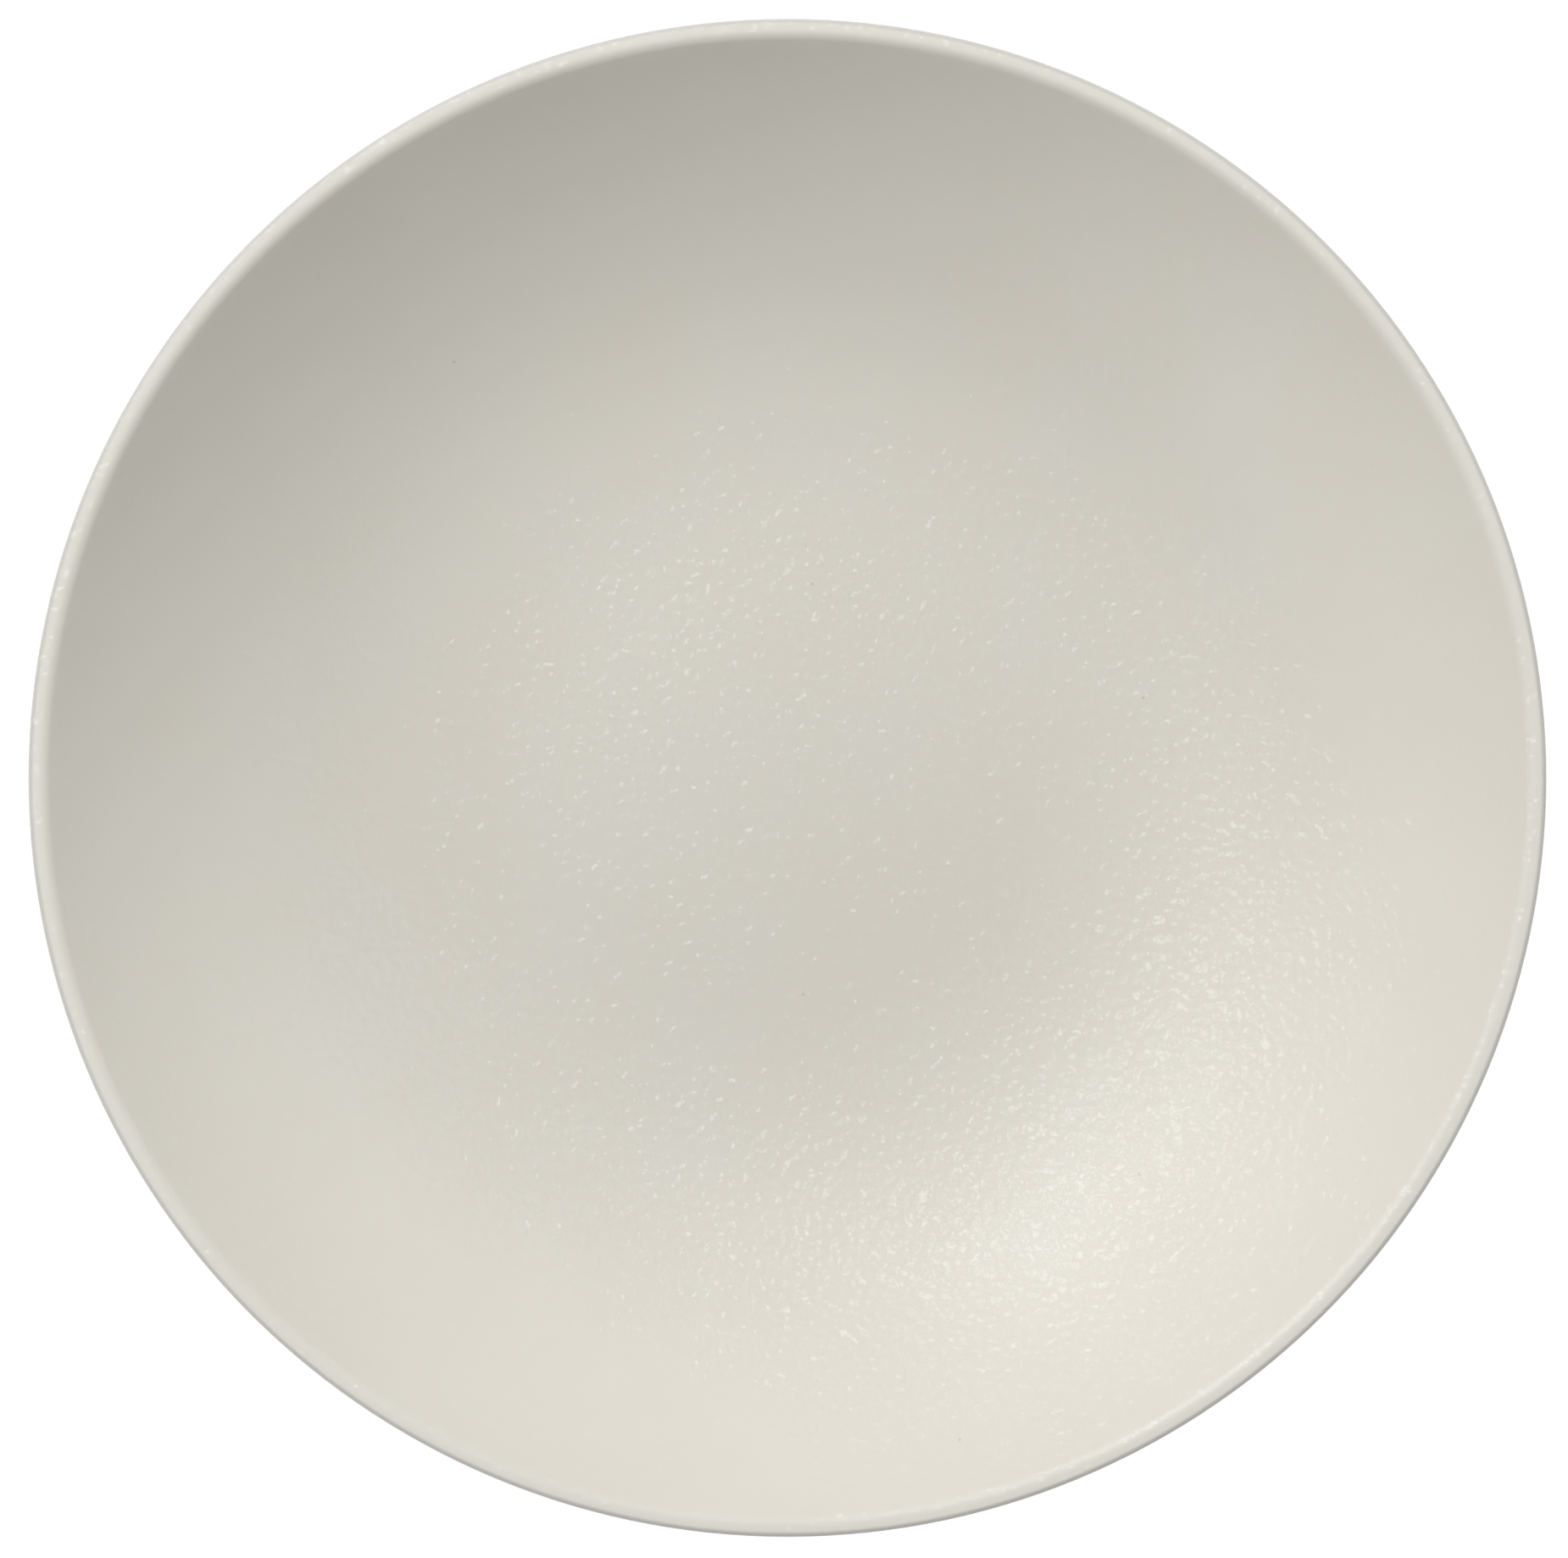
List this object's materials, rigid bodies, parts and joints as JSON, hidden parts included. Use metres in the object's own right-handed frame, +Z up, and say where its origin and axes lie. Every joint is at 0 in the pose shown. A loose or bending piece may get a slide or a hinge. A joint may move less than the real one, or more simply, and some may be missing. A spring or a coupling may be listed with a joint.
{
  "type": "deep plate",
  "caption": "Round coupe deep plate with a gently domed well, a wall curving up to a rounded lip, a low foot ring and a satin-matt sand glaze.",
  "frame": {"origin": "middle of the foot ring, on the table plane that the plate stands on", "axes": "+Z up along the plate's axis of revolution, from the foot to the open well; X and Y are alike"},
  "size_m": [0.28, 0.28, 0.05],
  "materials": {
    "bare_ceramic": "matt fired clay, ground smooth on the standing face",
    "sand_glaze": "satin-matt off-white sand glaze with a fine orange-peel surface"
  },
  "bodies": {
    "root": {"ceramic_body": "bare_ceramic", "outer_glaze": "sand_glaze", "recess_glaze": "sand_glaze"}
  },
  "joints": []
}
